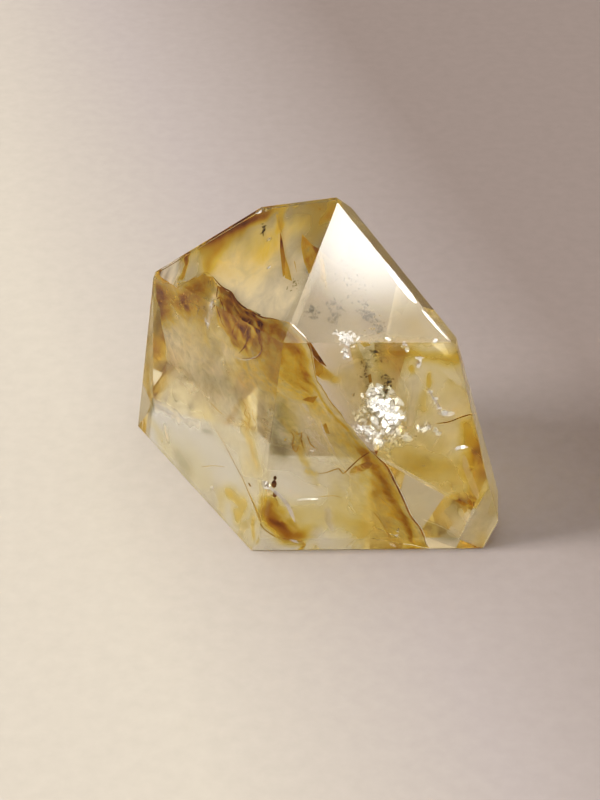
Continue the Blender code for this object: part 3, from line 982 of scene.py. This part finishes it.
# Thin silver gaps: pixels, depth and half width in mm, haze and the light that they throw.
SILVER_LINES = [
    ([(374, 400), (382, 408), (388, 418)], 3.2, 0.8, 0.45, TOP_FLASH),
    ([(386, 264), (400, 283), (416, 303)], 0.6, 0.55, 0.8, ROOF_FLASH),
    ([(422, 310), (436, 326), (450, 341)], 0.6, 0.25, 0.7, ROOF_FLASH),
    ([(268, 486), (280, 496), (288, 506), (295, 522)], 0.8, 0.42, 0.9, FRONT_FLASH),
    ([(154, 404), (162, 408), (174, 414)], 0.8, 0.55, 0.45, KEY_FLASH),
    ([(176, 415), (188, 420), (200, 425)], 0.8, 0.3, 0.2, KEY_FLASH),
    ([(166, 429), (168, 438)], 0.8, 0.45, 0.25, KEY_FLASH),
    ([(213, 486), (213, 493)], 0.8, 0.3, 0.35, KEY_FLASH),
    ([(302, 403), (309, 412)], 1, 0.3, 0.5, FRONT_FLASH),
    ([(297, 500), (308, 499), (318, 499)], 1, 0.22, 0.6, FRONT_FLASH),
    ([(320, 420), (325, 434), (332, 448), (336, 456)], 1.2, 0.14, 0.6, FRONT_FLASH),
    ([(308, 432), (314, 438), (322, 446)], 1.2, 0.12, 0.6, FRONT_FLASH),
    ([(305, 440), (308, 450), (316, 450), (312, 442)], 1.2, 0.1, 0.6, FRONT_FLASH),
    ([(427, 387), (432, 396), (437, 403), (441, 412)], 2, 0.22, 0.8, TOP_FLASH),
    ([(441, 412), (448, 414), (455, 413)], 2, 0.5, 0.5, TOP_FLASH),
    ([(430, 450), (437, 441), (439, 432)], 2, 0.1, 0.7, TOP_FLASH),
    ([(453, 448), (446, 456), (438, 462)], 2, 0.3, 0.4, TOP_FLASH),
    ([(455, 449), (461, 447), (468, 447)], 1, 0.36, 0.9, TOP_FLASH),
    ([(464, 455), (467, 470), (474, 488), (478, 499)], 1, 0.7, 0.3, TOP_FLASH),
    ([(424, 520), (440, 526), (457, 536)], 2, 0.1, 0.7),
    ([(289, 540), (302, 543)], 1, 0.45, 0.9),
    ([(389, 543), (396, 547)], 1, 0.4, 0.8),
    ([(294, 251), (296, 260)], 3, 0.2, 0.8),
    ([(233, 356), (245, 360), (257, 356), (262, 350)], 1.5, 0.12, 0.5),
]
# Others where the main crack comes out: pixels, half width, stain, haze, depth, shift to the right.
SILVER_MOUTH_LINES = [
    (MAIN_MOUTH[14:18], 0.1, 0, 0.9, 0.15, 0.25),
    (MAIN_MOUTH[25:], 0.1, 0, 0.5, 0.15, 0.3),
]


def make_cracks_and_veils(iron, cloud, dimming_and_shade):
    """The two cracks' faces, the clouds under single facets and the grey veils, some of them painted
    shade. Gives back the main crack.
    """
    main_crack = Crack(MAIN_MOUTH, MAIN_RIPPLE)
    main_crack.sheet("main_crack", iron, MAIN_STROKES, MAIN_BASE, MAIN_FADE, MAIN_REACH, MAIN_STEP)
    front_crack = Crack(FRONT_MOUTH, FRONT_RIPPLE)
    front_crack.sheet("front_crack", iron, FRONT_STROKES, FRONT_BASE, FRONT_FADE, FRONT_REACH, FRONT_STEP)
    for name, shape in VEILS.items():
        veil(name, cloud, main_crack, *shape)
    for name, shape in DIMMING_AND_SHADE_VEILS.items():
        veil(name, dimming_and_shade, main_crack, *shape)
    for name, (facet_pixel, depth, side, edge, strokes) in EDGED_VEILS.items():
        veil(name, cloud, main_crack, facet_pixel, depth, side, strokes, edge)
    return main_crack


def make_crack_lines(iron, main_crack):
    lines = Flaws()
    for line in SURFACE_LINES:
        surface_line(lines, *line)
    for pixels in SQUIGGLES:
        surface_line(lines, pixels, *SQUIGGLE_LOOK)
    for line in CRACK_LINES:
        crack_line(lines, main_crack, *line)
    lines.keep("crack_lines", iron)


def make_blades(iron):
    blades = Flaws()
    for corners in BLADES:
        blades.face(corners)
    for x, y, half_x, half_y in DROPS:
        blades.face([((x + half_x * math.cos(turn), y + half_y * math.sin(turn)), *DROP_LOOK)
                     for turn in DROP_TURNS])
    blades.keep("inner_blades", iron)


def make_flakes(iron, dimming_and_shade, silver_gap):
    """All the loose flakes, drawn from one run of random numbers."""
    rng = random.Random(FLAKE_SEED)
    dark, specks, silver = Flaws(), Flaws(), Flaws()
    for group in DARK_FLAKES:
        flakes(dark, rng, *group)
    for stain, *group in IRON_SPECKS:
        flakes(specks, rng, *group, stain=stain)
    for group in SILVER_FLAKES:
        flakes(silver, rng, *group)
    for line in SILVER_LINES:
        inner_line(silver, *line)
    for line in SILVER_MOUTH_LINES:
        surface_line(silver, *line)
    dark.keep("dark_flakes", dimming_and_shade)
    specks.keep("iron_specks", iron)
    silver.keep("silver_flakes", silver_gap)


def make_inner_pieces():
    iron = stained_material("iron_stain", grain=260.0, turn=0.0, rough=1.0, through=0.55)
    cloud = stained_material("iron_cloud", grain=170.0, turn=0.6, rough=0.42, through=0.3)
    dimming_and_shade = dimming_and_shade_material()
    main_crack = make_cracks_and_veils(iron, cloud, dimming_and_shade)
    make_crack_lines(iron, main_crack)
    make_blades(iron)
    make_flakes(iron, dimming_and_shade, silver_material())


# ---------------------------------------------------------------- floor, light and camera

def make_floor():
    """A pale floor, warmer at the left and greyer to the right and back; the grey at the right is partly
    its own tone and partly painted shade.
    """
    bpy.ops.mesh.primitive_plane_add(size=FLOOR_SIZE, location=(0, 0, -FLOOR_DROP))
    floor = bpy.context.object
    floor.name = "floor"
    nodes = Nodes(bpy.data.materials.new("floor"))
    where = nodes.add("TexCoord").outputs["Object"]
    parts = nodes.add("SeparateXYZ", {0: where})
    slide = nodes.math("ADD", parts.outputs[0], nodes.math("MULTIPLY", parts.outputs[1], 0.3))
    # the ramp holds the floor's own tones and painted shade towards the right
    tone = nodes.ramp(nodes.span(slide, TONE_START, TONE_END), FLOOR_TONES_AND_SHADE)
    grain = nodes.span(nodes.noise(300, detail=5), 0.3, 0.7, 0.96, 1.02)
    shader = nodes.add("BsdfPrincipled", {"Base Color": nodes.mix("MULTIPLY", tone, grain),
                                          "Roughness": 0.8, "Specular IOR Level": 0.0})
    floor.data.materials.append(nodes.surface(shader))


def make_world():
    """Soft studio surroundings: a pale room that brightens upward, with soft round lights in it."""
    world = bpy.data.worlds.new("studio")
    bpy.context.scene.world = world
    nodes = Nodes(world, "OutputWorld")
    look = nodes.add("TexCoord").outputs["Generated"]
    rise = nodes.add("SeparateXYZ", {0: look}).outputs[2]
    colour = nodes.ramp(rise, SKY).outputs[0]
    for azimuth, elevation, inner, outer, radiance in (KEY, TOP_LIGHT, TOP_GLOW):
        toward = direction(azimuth, elevation)
        facing = nodes.add("VectorMath", {0: look, 1: toward}, operation="DOT_PRODUCT").outputs["Value"]
        share = nodes.span(facing, math.cos(math.radians(outer)), math.cos(math.radians(inner)))
        share = nodes.math("POWER", share, LIGHT_FALLOFF)
        light = nodes.ramp(share, [(0.0, (0, 0, 0)), (1.0, (1, 1, 1))], ease="EASE")
        colour = nodes.mix("ADD", colour, nodes.mix("MULTIPLY", light, (*radiance, 1)))
    nodes.surface(nodes.add("Background", {"Color": colour, "Strength": SKY_STRENGTH}))


def make_camera():
    data = bpy.data.cameras.new("camera")
    data.sensor_fit = "VERTICAL"
    data.sensor_height = SENSOR_HEIGHT
    data.lens = LENS
    data.clip_start = 10 * MM
    camera = bpy.data.objects.new("camera", data)
    bpy.context.scene.collection.objects.link(camera)
    camera.location = CAMERA_PLACE
    camera.rotation_euler = (CAMERA_TILT, 0, 0)
    bpy.context.scene.camera = camera


def set_display():
    """Plain display colours, with the dark tones a little darker."""
    view = bpy.context.scene.view_settings
    view.view_transform = "Standard"
    view.use_curve_mapping = True
    all_channels = view.curve_mapping.curves[3]
    for light, shown in DARK_TONES:
        all_channels.points.new(light, shown).handle_type = "AUTO_CLAMPED"
    view.curve_mapping.update()


def set_bounces():
    """Enough light bounces to see through all the inner faces."""
    cycles = bpy.context.scene.cycles
    cycles.max_bounces = LIGHT_BOUNCES
    cycles.glossy_bounces = LIGHT_BOUNCES
    cycles.transmission_bounces = LIGHT_BOUNCES
    cycles.transparent_max_bounces = CLEAR_BOUNCES


clear_stone(quartz_material())
make_inner_pieces()
make_floor()
make_world()
make_camera()
set_display()
set_bounces()
